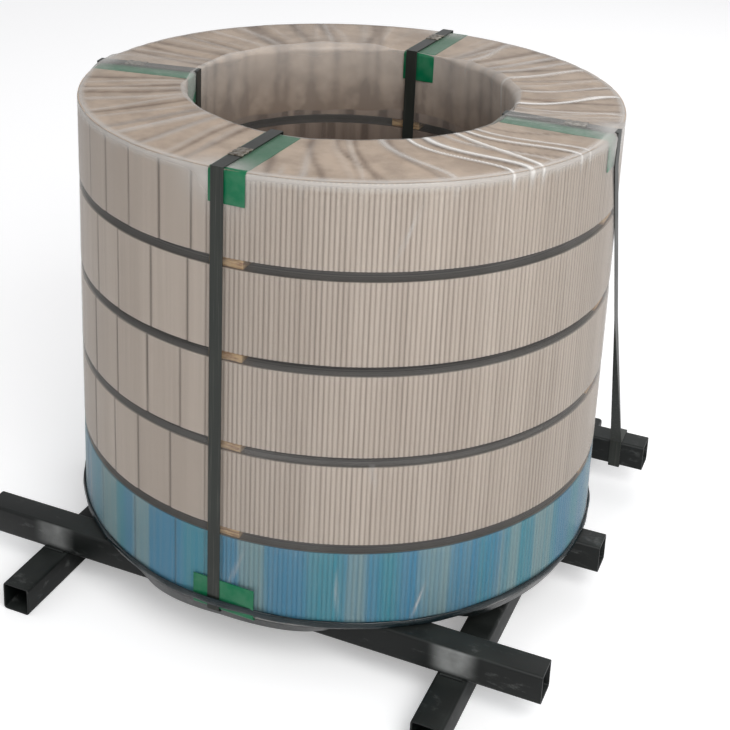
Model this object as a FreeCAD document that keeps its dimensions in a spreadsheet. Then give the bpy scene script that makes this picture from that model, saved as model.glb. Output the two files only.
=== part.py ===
"""Pack of five slit stainless steel coils, stacked eye to the sky on a steel skid.

Frame: origin on the floor under the middle of the pack, +Z up, +X along the three
upper beams of the skid, millimetres. The pack is symmetrical about X and Y, apart
from its four straps, which were laid a few degrees off the skid's axes.
"""
import FreeCAD, Part
import math
import os

os.makedirs("parts", exist_ok=True)
doc = FreeCAD.newDocument("CoilPack")
sheet = doc.addObject("Spreadsheet::Sheet", "Sizes")

# Driving sizes in mm, each written once.
SIZES = {
    "tube_side": 45.0,        # square tube of the skid, over its walls
    "tube_wall": 3.0,
    "skid_margin": 41.0,      # from the outside of the coils to the ends of the tubes
    "beam_pitch": 325.0,      # between the upper beams
    "runner_offset": 325.0,   # from the middle to each runner
    "coil_dia": 818.0,
    "eye_dia": 508.0,
    "coil_height": 120.0,
    "spacer_height": 15.0,
    "spacer_width": 50.0,
    "spacer_length": 150.0,
    "sleeve_wall": 2.5,       # ribbed sleeve round each coil
    "liner_wall": 1.5,        # paper inside the eye
    "cover_wall": 1.0,        # paper over the top end
    "film_wall": 1.0,
    "guard_wall": 2.0,        # corner guards under the straps
    "guard_width": 54.0,
    "guard_leg": 50.0,
    "guard_shift": 12.0,      # how far a guard's middle lies beside its strap
    "foot_guard_width": 96.0,
    "foot_guard_shift": 15.0,
    "foot_guard_leg": 50.0,
    "foot_guard_flange": 40.0,
    "strap_width": 19.0,
    "strap_wall": 1.0,
    "seal_length": 32.0,
    "seal_wall": 1.2,
    "seal_offset": 352.0,     # from the axis to the middle of a seal
    "beam_clearance": 2.5,    # between the left strap and the middle beam
    "stub_lean": 12.5,        # how far the right strap leans in on its way to the stub
}
for row, (alias, value) in enumerate(SIZES.items(), start=1):
    sheet.set(f"A{row}", alias)
    sheet.set(f"B{row}", str(value))
    sheet.setAlias(f"B{row}", alias)
doc.recompute()

S = "Sizes."
COILS = 5
# Height of the underside of coil number k, counted from 0 at the bottom.
SKID_TOP = f"2 * {S}tube_side"
PITCH = f"({S}coil_height + {S}spacer_height)"
COIL_R = f"{S}coil_dia / 2"
EYE_R = f"{S}eye_dia / 2"
SLEEVE_R = f"({COIL_R} + {S}sleeve_wall)"
LINER_R = f"({EYE_R} - {S}liner_wall)"
FILM_R = f"({SLEEVE_R} + {S}film_wall)"
FILM_EYE_R = f"({LINER_R} - {S}film_wall)"
STACK_TOP = f"({SKID_TOP} + {COILS - 1} * {PITCH} + {S}coil_height)"
FILM_TOP = f"({STACK_TOP} + {S}cover_wall + {S}film_wall)"

nodes = []


def bind(obj, **paths):
    """Bind properties to expressions; base_x, base_y and base_z set the position."""
    for path, text in paths.items():
        name = {"base_x": ".Placement.Base.x", "base_y": ".Placement.Base.y",
                "base_z": ".Placement.Base.z"}.get(path, path)
        obj.setExpression(name, text)
    return obj


def cylinder(name, radius, height, z="0"):
    """A solid cylinder on the Z axis."""
    obj = doc.addObject("Part::Cylinder", name)
    return bind(obj, Radius=radius, Height=height, base_z=z)


def box(name, length, width, height, x, y, z):
    """A box with its low corner at x, y, z."""
    obj = doc.addObject("Part::Box", name)
    return bind(obj, Length=length, Width=width, Height=height, base_x=x, base_y=y, base_z=z)


def cut(name, base, tool):
    """Base less tool."""
    obj = doc.addObject("Part::Cut", name)
    obj.Base = base
    obj.Tool = tool
    return obj


def fuse(name, shapes):
    """Several solids joined into one, with the seams between coplanar faces removed."""
    obj = doc.addObject("Part::MultiFuse", name)
    obj.Shapes = shapes
    obj.Refine = True
    return obj


def ring(name, outer, inner, height, z):
    """A turned ring on the Z axis."""
    return cut(name, cylinder(name + "_body", outer, height, z),
               cylinder(name + "_hole", inner, height, z))


def keep(obj, label, turn=0.0):
    """Name a finished sub-part and turn it about the Z axis, in degrees."""
    obj.Label = label
    if turn:
        obj.Placement = FreeCAD.Placement(FreeCAD.Vector(0, 0, 0),
                                          FreeCAD.Rotation(FreeCAD.Vector(0, 0, 1), turn))
    nodes.append(obj)
    return obj


# Skid: three beams along X lie across two runners along Y, all of open square tube.
SIDE, WALL = f"{S}tube_side", f"{S}tube_wall"
LONG = f"({S}coil_dia + 2 * {S}skid_margin)"
for label, row in (("front", -1), ("middle", 0), ("rear", 1)):
    name = f"skid_beam_{label}"
    mid = f"{row} * {S}beam_pitch"
    keep(cut(name,
             box(name + "_body", LONG, SIDE, SIDE, f"-{LONG} / 2", f"{mid} - {SIDE} / 2", SIDE),
             box(name + "_hollow", LONG, f"{SIDE} - 2 * {WALL}", f"{SIDE} - 2 * {WALL}",
                 f"-{LONG} / 2", f"{mid} - {SIDE} / 2 + {WALL}", f"{SIDE} + {WALL}")), name)
for label, row in (("left", -1), ("right", 1)):
    name = f"skid_runner_{label}"
    mid = f"{row} * {S}runner_offset"
    keep(cut(name,
             box(name + "_body", SIDE, LONG, SIDE, f"{mid} - {SIDE} / 2", f"-{LONG} / 2", "0"),
             box(name + "_hollow", f"{SIDE} - 2 * {WALL}", LONG, f"{SIDE} - 2 * {WALL}",
                 f"{mid} - {SIDE} / 2 + {WALL}", f"-{LONG} / 2", WALL)), name)

# Coils, each one turned ring of strip, with its ribbed sleeve and its paper liner.
for k in range(COILS):
    z = f"{SKID_TOP} + {k} * {PITCH}"
    keep(ring(f"coil_{k + 1}", COIL_R, EYE_R, f"{S}coil_height", z), f"coil_{k + 1}")
    keep(ring(f"sleeve_{k + 1}", SLEEVE_R, COIL_R, f"{S}coil_height", z), f"sleeve_{k + 1}")
    keep(ring(f"liner_{k + 1}", EYE_R, LINER_R, f"{S}coil_height", z), f"liner_{k + 1}")

# Four wooden spacers in each of the gaps between coils, one under each strap.
SIDES = (("front", 0, -1), ("right", 1, 0), ("rear", 0, 1), ("left", -1, 0))
for gap in range(COILS - 1):
    z = f"{SKID_TOP} + {gap} * {PITCH} + {S}coil_height"
    for label, cx, cy in SIDES:
        name = f"spacer_{gap + 1}_{label}"
        length = f"{S}spacer_length" if cx else f"{S}spacer_width"
        width = f"{S}spacer_length" if cy else f"{S}spacer_width"
        middle = f"({COIL_R} + {EYE_R}) / 2"
        obj = doc.addObject("Part::Box", name)
        bind(obj, Length=length, Width=width, Height=f"{S}spacer_height",
             base_x=f"{cx} * {middle} - {length} / 2",
             base_y=f"{cy} * {middle} - {width} / 2", base_z=z)
        keep(obj, name)

# Paper over the top end, then the film: up the outside, over the top, down the eye.
keep(ring("top_cover", SLEEVE_R, LINER_R, f"{S}cover_wall", STACK_TOP), "top_cover")
film_height = f"{FILM_TOP} - {SKID_TOP}"
film_body = ring("film_body", FILM_R, FILM_EYE_R, film_height, SKID_TOP)
film_inside = ring("film_inside", SLEEVE_R, LINER_R, f"{film_height} - {S}film_wall", SKID_TOP)
keep(cut("stretch_film", film_body, film_inside), "stretch_film")

# Sizes that the straps follow, in mm.
side = SIZES["tube_side"]
wall = SIZES["strap_wall"]
half_strap = SIZES["strap_width"] / 2
skid_top = 2 * side
film_r = SIZES["coil_dia"] / 2 + SIZES["sleeve_wall"] + SIZES["film_wall"]
film_eye_r = SIZES["eye_dia"] / 2 - SIZES["liner_wall"] - SIZES["film_wall"]
leg_r = math.sqrt(film_eye_r ** 2 - (SIZES["guard_width"] / 2 + SIZES["guard_shift"]) ** 2)
out_x = film_r + SIZES["guard_wall"]
in_x = leg_r - SIZES["guard_wall"]
top_z = (skid_top + (COILS - 1) * (SIZES["coil_height"] + SIZES["spacer_height"])
         + SIZES["coil_height"] + SIZES["cover_wall"] + SIZES["film_wall"] + SIZES["guard_wall"])
foot_z = skid_top - SIZES["guard_wall"]

# Straps, guards and seals are drawn along +X and turned to their places. The right strap
# stands on the middle beam, the left one passes beside it, and the other two cross the
# outer beams.
beside_beam = math.degrees(math.asin((side / 2 + half_strap + SIZES["beam_clearance"]) / in_x))
TURNS = {"front": -91.4, "right": -2.0, "rear": 88.0, "left": 180.0 + beside_beam}
# Which way each guard is shifted along its width.
SHIFTS = {"front": 1, "right": -1, "rear": -1, "left": 1}
# A flat guard leg inside the eye touches the film with the edge that lies further out.
LEG_R = f"sqrt({FILM_EYE_R} ^ 2 - ({S}guard_width / 2 + {S}guard_shift) ^ 2)"
GUARD = f"{S}guard_wall"
for label, turn in TURNS.items():
    name = f"top_guard_{label}"
    low = f"{FILM_TOP} + {GUARD} - {S}guard_leg"
    half = f"{SHIFTS[label]} * {S}guard_shift - {S}guard_width / 2"
    keep(fuse(name, [
        box(name + "_outer", GUARD, f"{S}guard_width", f"{S}guard_leg", FILM_R, half, low),
        box(name + "_inner", GUARD, f"{S}guard_width", f"{S}guard_leg",
            f"{LEG_R} - {GUARD}", half, low),
        box(name + "_plate", f"{FILM_R} - {LEG_R} + 2 * {GUARD}", f"{S}guard_width", GUARD,
            f"{LEG_R} - {GUARD}", half, FILM_TOP)]), name, turn)

    name = f"strap_seal_{label}"
    wide = f"({S}strap_width + 2 * {S}seal_wall)"
    keep(cut(name,
             box(name + "_body", f"{S}seal_length", wide, f"{S}strap_wall + {S}seal_wall",
                 f"{S}seal_offset - {S}seal_length / 2", f"-{wide} / 2", f"{FILM_TOP} + {GUARD}"),
             box(name + "_slot", f"{S}seal_length", f"{S}strap_width", f"{S}strap_wall",
                 f"{S}seal_offset - {S}seal_length / 2", f"-{S}strap_width / 2",
                 f"{FILM_TOP} + {GUARD}")), name, turn)

for label in ("front", "rear"):
    half = f"{SHIFTS[label]} * {S}foot_guard_shift - {S}foot_guard_width / 2"
    name = f"foot_guard_{label}_outer"
    keep(fuse(name, [
        box(name + "_leg", GUARD, f"{S}foot_guard_width", f"{S}foot_guard_leg",
            FILM_R, half, f"{SKID_TOP} - {GUARD}"),
        box(name + "_flange", f"{S}foot_guard_flange", f"{S}foot_guard_width", GUARD,
            f"{FILM_R} + {GUARD} - {S}foot_guard_flange", half, f"{SKID_TOP} - {GUARD}")]),
        name, TURNS[label])
    half = f"{SHIFTS[label]} * {S}guard_shift - {S}guard_width / 2"
    name = f"foot_guard_{label}_inner"
    keep(fuse(name, [
        box(name + "_leg", GUARD, f"{S}guard_width", f"{S}foot_guard_leg",
            f"{LEG_R} - {GUARD}", half, f"{SKID_TOP} - {GUARD}"),
        box(name + "_flange", f"{S}foot_guard_flange", f"{S}guard_width", GUARD,
            f"{LEG_R} - {GUARD}", half, f"{SKID_TOP} - {GUARD}")]), name, TURNS[label])


def offset_path(points, away, closed):
    """Move a flat path sideways by a distance, keeping its corners sharp."""
    count = len(points)
    lines = []
    for i in range(count if closed else count - 1):
        (ax, az), (bx, bz) = points[i], points[(i + 1) % count]
        size = math.hypot(bx - ax, bz - az)
        nx, nz = (bz - az) / size, -(bx - ax) / size
        lines.append(((ax + nx * away, az + nz * away), (bx - ax, bz - az)))
    moved = []
    for i in range(count):
        if not closed and i in (0, count - 1):
            start, step = lines[0] if i == 0 else lines[-1]
            moved.append(start if i == 0 else (start[0] + step[0], start[1] + step[1]))
            continue
        (px, pz), (ux, uz) = lines[i - 1]
        (qx, qz), (vx, vz) = lines[i]
        along = ((qx - px) * vz - (qz - pz) * vx) / (ux * vz - uz * vx)
        moved.append((px + ux * along, pz + uz * along))
    return moved


def bent_strap(points, closed):
    """The solid of a flat strap bent round a path of X and Z points on its inner side."""
    def face(path):
        corners = [FreeCAD.Vector(x, -half_strap, z) for x, z in path]
        return Part.Face(Part.makePolygon(corners + corners[:1]))

    outer = offset_path(points, wall, closed)
    across = FreeCAD.Vector(0, 2 * half_strap, 0)
    if closed:
        return face(outer).extrude(across).cut(face(points).extrude(across)).Solids[0]
    return face(outer + points[::-1]).extrude(across)


def keep_strap(name, shape, turn=0.0):
    """Keep a strap's shape as a sub-part of the document."""
    obj = doc.addObject("Part::Feature", name)
    obj.Shape = shape
    keep(obj, name, turn)


# Front and rear straps go round the coils and the outer beam under them. A little air
# is left at the beams, because the straps run up to two degrees off them.
air = 1.0
beam_side = SIZES["beam_pitch"] + side / 2 + air
round_beam = [(in_x, top_z), (in_x, foot_z), (beam_side - side - 2 * air, side - 0.3),
              (beam_side, side - 0.3), (out_x, foot_z), (out_x, top_z)]
for label in ("front", "rear"):
    keep_strap(f"strap_{label}", bent_strap(round_beam, True), TURNS[label])

# The left strap passes beside the middle beam, so it goes round the coils alone.
round_coils = [(in_x, top_z), (in_x, skid_top), (out_x, skid_top), (out_x, top_z)]
keep_strap("strap_left", bent_strap(round_coils, True), TURNS["left"])


def flat_ring(corners):
    """A closed wire through four corners."""
    return Part.makePolygon(corners + corners[:1])


# The right strap drops past its guard and leans back to the stub of the rear beam, flat
# against the coils for half the way and with a quarter twist on the rest. It ends in a
# band round the stub, and inside the eye on the middle beam.
leg_z = top_z - SIZES["guard_leg"]
over_top = bent_strap([(out_x, leg_z), (out_x, top_z), (in_x, top_z), (in_x, skid_top)], False)
turn = FreeCAD.Rotation(FreeCAD.Vector(0, 0, 1), TURNS["right"])
over_top.Placement = FreeCAD.Placement(FreeCAD.Vector(0, 0, 0), turn)
stub_x = out_x - SIZES["stub_lean"]
stub_y = SIZES["beam_pitch"] - side / 2 - air
band_top = skid_top + air + wall
leg_end = [turn.multVec(FreeCAD.Vector(x, y, leg_z)) for x, y in (
    (out_x, -half_strap), (out_x, half_strap),
    (out_x + wall, half_strap), (out_x + wall, -half_strap))]
band_edge = [FreeCAD.Vector(x, y, band_top) for x, y in (
    (stub_x - half_strap, stub_y), (stub_x + half_strap, stub_y),
    (stub_x + half_strap, stub_y - wall), (stub_x - half_strap, stub_y - wall))]
drop = (sum(band_edge, FreeCAD.Vector()) - sum(leg_end, FreeCAD.Vector())) * 0.25
half_way = [corner + drop * 0.5 for corner in leg_end]
leaning = Part.makeLoft([flat_ring(leg_end), flat_ring(half_way), flat_ring(band_edge)],
                        True, True)
hole = side + 2 * air
band = Part.makeBox(
    2 * half_strap, hole + 2 * wall, hole + 2 * wall,
    FreeCAD.Vector(stub_x - half_strap, stub_y - wall, side - air - wall)).cut(Part.makeBox(
        2 * half_strap, hole, hole, FreeCAD.Vector(stub_x - half_strap, stub_y, side - air)))
keep_strap("strap_right", over_top.fuse([leaning, band]).removeSplitter().Solids[0])

doc.recompute()
for obj in doc.Objects:
    if "Invalid" in obj.State or "Error" in obj.State:
        raise SystemExit(f"{obj.Name} did not recompute")
for obj in nodes:
    if obj.Shape.isNull() or not obj.Shape.isValid() or len(obj.Shape.Solids) != 1:
        raise SystemExit(f"{obj.Label} is not one sound solid")
for obj in nodes:
    obj.Shape.exportStep(f"parts/{obj.Label}.step")
print(len(nodes), "parts written")
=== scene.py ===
"""Looks of a pack of slit stainless steel coils on a steel skid.

The pack stands eye to the sky. Its sizes and places are read from the frame, in
metres: +Z is up and +X runs along the three upper beams of the skid.
"""
import logging
import math
import random
from contextlib import contextmanager
from dataclasses import dataclass, field
from enum import Enum
from typing import Callable, Iterator, Sequence

import bmesh
import bpy
from mathutils import Matrix, Vector


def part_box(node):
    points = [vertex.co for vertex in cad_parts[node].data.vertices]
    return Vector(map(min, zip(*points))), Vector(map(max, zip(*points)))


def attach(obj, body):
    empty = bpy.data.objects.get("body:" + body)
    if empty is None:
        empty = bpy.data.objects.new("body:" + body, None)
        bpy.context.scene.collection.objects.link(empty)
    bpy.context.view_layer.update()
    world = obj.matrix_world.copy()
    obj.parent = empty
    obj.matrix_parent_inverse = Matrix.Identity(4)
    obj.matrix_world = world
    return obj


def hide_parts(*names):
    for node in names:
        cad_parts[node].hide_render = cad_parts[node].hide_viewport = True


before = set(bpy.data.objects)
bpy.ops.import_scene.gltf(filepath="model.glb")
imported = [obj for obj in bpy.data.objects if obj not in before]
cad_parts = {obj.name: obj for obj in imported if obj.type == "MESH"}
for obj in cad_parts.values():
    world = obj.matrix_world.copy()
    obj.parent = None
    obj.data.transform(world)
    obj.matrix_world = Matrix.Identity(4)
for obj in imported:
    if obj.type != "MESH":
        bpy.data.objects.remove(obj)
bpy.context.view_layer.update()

ROOT = "root"
COILS = 5
MM = 0.001
FULL_TURN = 2 * math.pi
GUARD_ASIDE = 2.4   # degrees from a strap to the middle of its guard

log = logging.getLogger("coil_pack")


class Side(Enum):
    """The four sides on which the pack is strapped, as the azimuth of each strap."""

    FRONT = -91.4
    RIGHT = -2.0
    REAR = 88.0
    LEFT = 187.995

    @property
    def label(self) -> str:
        """The word that the side's nodes end with."""
        return self.name.lower()

    @property
    def angle(self) -> float:
        """The azimuth in radians."""
        return math.radians(self.value)

    @property
    def guard_angle(self) -> float:
        """The azimuth of the middle of the guard, which lies a little beside the strap."""
        aside = GUARD_ASIDE if self in (Side.FRONT, Side.LEFT) else -GUARD_ASIDE
        return math.radians(self.value + aside)


# ---------------------------------------------------------------- modelling


def eye_radius(node: str) -> float:
    """The bore of a ring's node, from its nearest point to the axis."""
    return min(math.hypot(v.co.x, v.co.y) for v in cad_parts[node].data.vertices)


def local_box(node: str, angle: float) -> tuple[Vector, Vector]:
    """The box of a node after it is turned back from an azimuth to lie along +X.

    Args:
        node: the node's name.
        angle: its azimuth in radians.

    Returns:
        The lowest and the highest corner.
    """
    back = Matrix.Rotation(-angle, 3, "Z")
    points = [back @ v.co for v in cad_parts[node].data.vertices]
    return (Vector([min(p[i] for p in points) for i in range(3)]),
            Vector([max(p[i] for p in points) for i in range(3)]))


def deselect() -> None:
    """Leave nothing selected."""
    bpy.ops.object.select_all(action="DESELECT")


def make_active(piece: bpy.types.Object) -> None:
    """Select one object alone and make it active."""
    deselect()
    piece.select_set(True)
    bpy.context.view_layer.objects.active = piece


@contextmanager
def editing(piece: bpy.types.Object, mode: str = "FACE") -> Iterator[None]:
    """Edit mode on one object, with nothing selected at the start.

    Args:
        piece: the mesh object to edit.
        mode: what is selected, VERT, EDGE or FACE.
    """
    make_active(piece)
    bpy.ops.object.mode_set(mode="EDIT")
    bpy.ops.mesh.select_mode(type=mode)
    bpy.ops.mesh.select_all(action="DESELECT")
    try:
        yield
    finally:
        bpy.ops.object.mode_set(mode="OBJECT")


def choose(piece: bpy.types.Object, kind: str, test: Callable[..., bool]) -> int:
    """Select the verts, edges or faces that pass a test, in edit mode.

    Args:
        piece: the object that is being edited.
        kind: verts, edges or faces.
        test: takes one element of the mesh.

    Returns:
        How many were selected.
    """
    mesh = bmesh.from_edit_mesh(piece.data)
    found = [item for item in getattr(mesh, kind) if test(item)]
    for item in found:
        item.select_set(True)
    mesh.select_flush_mode()
    bmesh.update_edit_mesh(piece.data)
    return len(found)


def modify(piece: bpy.types.Object, kind: str, **settings: object) -> None:
    """Add a modifier, set it up and apply it."""
    make_active(piece)
    modifier = piece.modifiers.new(kind.title(), kind)
    for name, value in settings.items():
        setattr(modifier, name, value)
    bpy.ops.object.modifier_apply(modifier=modifier.name)


def round_edges(piece: bpy.types.Object, width: float, limit: float = 60.0) -> None:
    """Bevel the edges that are sharper than a limit in degrees."""
    modify(piece, "BEVEL", width=width, segments=2, limit_method="ANGLE",
           angle_limit=math.radians(limit))


def apply_place(piece: bpy.types.Object) -> None:
    """Make a piece active and put its place, turn and size into its mesh."""
    make_active(piece)
    bpy.ops.object.transform_apply(location=True, rotation=True, scale=True)


def settle(piece: bpy.types.Object, smooth: float = 35.0) -> bpy.types.Object:
    """Put a piece's place into its mesh and shade it smooth below an angle in degrees."""
    apply_place(piece)
    bpy.ops.object.shade_smooth_by_angle(angle=math.radians(smooth))
    return piece


def face_outward(piece: bpy.types.Object) -> None:
    """Merge doubles and make the faces of a closed mesh point outwards."""
    with editing(piece):
        bpy.ops.mesh.select_all(action="SELECT")
        bpy.ops.mesh.remove_doubles(threshold=0.02 * MM)
        bpy.ops.mesh.normals_make_consistent(inside=False)


def copy_piece(piece: bpy.types.Object, name: str, shift: Sequence[float] = (0, 0, 0),
               turn: float = 0.0) -> bpy.types.Object:
    """Copy a settled piece with a mesh of its own, turned about Z and then moved."""
    double = piece.copy()
    double.data = piece.data.copy()
    double.name = name
    bpy.context.scene.collection.objects.link(double)
    double.rotation_euler = (0, 0, turn)
    double.location = shift
    apply_place(double)
    return double


def join_pieces(pieces: Sequence[bpy.types.Object], name: str) -> bpy.types.Object:
    """Join several objects into one."""
    make_active(pieces[0])
    for piece in pieces:
        piece.select_set(True)
    bpy.ops.object.join()
    joined = bpy.context.object
    joined.name = name
    return joined


def finish_piece(piece: bpy.types.Object, slot: str, material: bpy.types.Material,
                 *nodes: str) -> None:
    """Dress a piece, let it ride on the pack and hide the nodes that it stands for.

    Args:
        piece: the finished object.
        slot: the record's material slot; not used.
        material: its material.
        nodes: the CAD nodes that it replaces.
    """
    piece.data.materials.clear()
    piece.data.materials.append(material)
    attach(piece, ROOT)
    if nodes:
        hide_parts(*nodes)
    log.info("%s: %d faces", piece.name, len(piece.data.polygons))


def set_attribute(piece: bpy.types.Object, name: str, values: Sequence[float]) -> None:
    """Give a mesh one number for each of its points."""
    attribute = piece.data.attributes.new(name, "FLOAT", "POINT")
    attribute.data.foreach_set("value", list(values))


def bump_at(distance: float, width: float) -> float:
    """A smooth ridge, 1 at no distance and near 0 past its width."""
    return math.exp(-((distance / width) ** 2))


def wrap(angle: float) -> float:
    """An angle in radians brought between minus and plus half a turn."""
    return (angle + math.pi) % FULL_TURN - math.pi


def rounded_path(points: Sequence[tuple[float, float]], radius: float,
                 steps: int = 5) -> list[tuple[float, float]]:
    """Round the inner corners of an open path with arcs.

    Args:
        points: X and Z of each corner.
        radius: the radius of the arcs.
        steps: straight runs in each arc.

    Returns:
        The points of the rounded path.
    """
    path = [points[0]]
    for before, corner, after in zip(points, points[1:], points[2:]):
        here = Vector(corner)
        back, ahead = (Vector(before) - here).normalized(), (Vector(after) - here).normalized()
        half = back.angle(ahead) / 2
        reach = radius / math.tan(half)
        centre = here + (back + ahead).normalized() * radius / math.sin(half)
        start, end = here + back * reach - centre, here + ahead * reach - centre
        for step in range(steps + 1):
            share = step / steps
            spoke = (start * (1 - share) + end * share).normalized() * radius
            path.append(tuple(centre + spoke))
    path.append(points[-1])
    return path


@dataclass
class BentStrip:
    """A flat strip bent along a path in the X and Z plane, then turned about Z."""

    name: str
    path: list[tuple[float, float]]
    width: float
    wall: float
    edge: float
    turn: float = 0.0
    shift: float = 0.0

    def build(self) -> bpy.types.Object:
        """Extrude an edge along the path, thicken it on its left and round its edges."""
        (x, z), rest = self.path[0], self.path[1:]
        bpy.ops.mesh.primitive_plane_add(size=self.width, location=(x, self.shift, z))
        piece = bpy.context.object
        piece.name = self.name
        with editing(piece, "VERT"):
            choose(piece, "verts", lambda v: v.co.x > 0)
            bpy.ops.mesh.delete(type="VERT")
            bpy.ops.mesh.select_all(action="SELECT")
            bpy.ops.transform.translate(value=(self.width / 2, 0, 0))
            bpy.ops.mesh.select_mode(type="EDGE")
            bpy.ops.mesh.select_all(action="SELECT")
            for next_x, next_z in rest:
                move = (next_x - x, 0, next_z - z)
                bpy.ops.mesh.extrude_region_move(TRANSFORM_OT_translate={"value": move})
                x, z = next_x, next_z
        modify(piece, "SOLIDIFY", thickness=self.wall, offset=1.0, use_even_offset=True)
        face_outward(piece)
        round_edges(piece, self.edge)
        settle(piece)
        piece.rotation_euler = (0, 0, self.turn)
        return settle(piece)


# ---------------------------------------------------------------- shader maths


class Shade:
    """A socket of a node tree, on which Python's operators add Math nodes."""

    def __init__(self, tree: "Tree", socket: bpy.types.NodeSocket) -> None:
        """Keep the tree and the socket."""
        self.tree = tree
        self.socket = socket

    def _maths(self, operation: str, *values: object) -> "Shade":
        """One Math node."""
        inputs = dict(enumerate(values))
        return self.tree.add("ShaderNodeMath", {"operation": operation}, inputs)

    def __add__(self, other: object) -> "Shade":
        """Sum."""
        return self._maths("ADD", self, other)

    __radd__ = __add__

    def __sub__(self, other: object) -> "Shade":
        """Difference."""
        return self._maths("SUBTRACT", self, other)

    def __rsub__(self, other: object) -> "Shade":
        """Difference, the other way round."""
        return self._maths("SUBTRACT", other, self)

    def __mul__(self, other: object) -> "Shade":
        """Product."""
        return self._maths("MULTIPLY", self, other)

    __rmul__ = __mul__

    def clamp(self) -> "Shade":
        """Kept between 0 and 1."""
        return self.tree.add("ShaderNodeClamp", {}, {"Value": self})

    def ramp(self, low: float, high: float) -> "Shade":
        """0 up to the low value and 1 from the high value on, smooth between."""
        return self.tree.add("ShaderNodeMapRange", {"interpolation_type": "SMOOTHSTEP"},
                             {"Value": self, "From Min": low, "From Max": high})


Colour = tuple[float, float, float]


def srgb(red: int, green: int, blue: int) -> Colour:
    """A colour given in the eight-bit steps of a colour picker, as linear light."""
    def linear(step: int) -> float:
        value = step / 255
        return value / 12.92 if value <= 0.04045 else ((value + 0.055) / 1.055) ** 2.4
    return linear(red), linear(green), linear(blue)


class Tree:
    """The node tree of one material."""

    def __init__(self, name: str) -> None:
        """Start a material with no nodes but its output."""
        self.material = bpy.data.materials.new(name)
        self.material.use_nodes = True
        self.nodes = self.material.node_tree.nodes
        self.links = self.material.node_tree.links
        self.nodes.clear()
        self.output = self.nodes.new("ShaderNodeOutputMaterial")

    def add(self, kind: str, settings: dict, inputs: dict, output: object = 0) -> Shade:
        """Add a node.

        Args:
            kind: the node's type.
            settings: its properties, set first.
            inputs: values, colours or links by socket name or number.
            output: the name or number of the socket to go on with.

        Returns:
            That socket.
        """
        node = self.nodes.new(kind)
        for name, value in settings.items():
            setattr(node, name, value)
        for name, value in inputs.items():
            self.feed(node.inputs[name], value)
        return Shade(self, node.outputs[output])

    def feed(self, socket: bpy.types.NodeSocket, value: object) -> None:
        """Link a socket or set its value."""
        if isinstance(value, Shade):
            self.links.new(value.socket, socket)
        elif isinstance(value, tuple) and len(value) == 3 and socket.type == "RGBA":
            socket.default_value = (*value, 1.0)
        else:
            socket.default_value = value

    def place(self, scale: Sequence[float] = (1, 1, 1)) -> Shade:
        """Object coordinates, stretched by a scale for each axis."""
        at = self.add("ShaderNodeTexCoord", {}, {}, "Object")
        return self.add("ShaderNodeMapping", {}, {"Vector": at, "Scale": tuple(scale)})

    def height(self) -> Shade:
        """Metres above the floor."""
        return self.add("ShaderNodeSeparateXYZ", {}, {0: self.place()}, "Z")

    def noise(self, scale: Sequence[float], detail: float = 3.0, rough: float = 0.5) -> Shade:
        """Noise between 0 and 1 with so many lumps to the metre along each axis."""
        return self.add("ShaderNodeTexNoise", {},
                        {"Vector": self.place(scale), "Scale": 1.0, "Detail": detail,
                         "Roughness": rough}, "Fac")

    def attribute(self, name: str) -> Shade:
        """A number stored at the points of the mesh."""
        return self.add("ShaderNodeAttribute", {"attribute_name": name}, {}, "Fac")

    def mix(self, share: object, first: object, second: object) -> Shade:
        """A colour between two others."""
        node = self.nodes.new("ShaderNodeMix")
        node.data_type = "RGBA"
        self.feed(node.inputs[0], share)
        self.feed(node.inputs[6], first)
        self.feed(node.inputs[7], second)
        return Shade(self, node.outputs[2])

    def bump(self, height: Shade, strength: float, distance: float) -> Shade:
        """A normal bent by a height."""
        return self.add("ShaderNodeBump", {}, {"Height": height, "Strength": strength,
                                               "Distance": distance})

    def surface(self, **inputs: object) -> Shade:
        """A Principled shader; a socket's spaces are written as underscores."""
        named = {name.replace("_", " "): value for name, value in inputs.items()}
        return self.add("ShaderNodeBsdfPrincipled", {}, named)

    def done(self, shader: Shade) -> bpy.types.Material:
        """Link the shader to the output and return the material."""
        self.links.new(shader.socket, self.output.inputs["Surface"])
        return self.material


# ---------------------------------------------------------------- finishes


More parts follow.
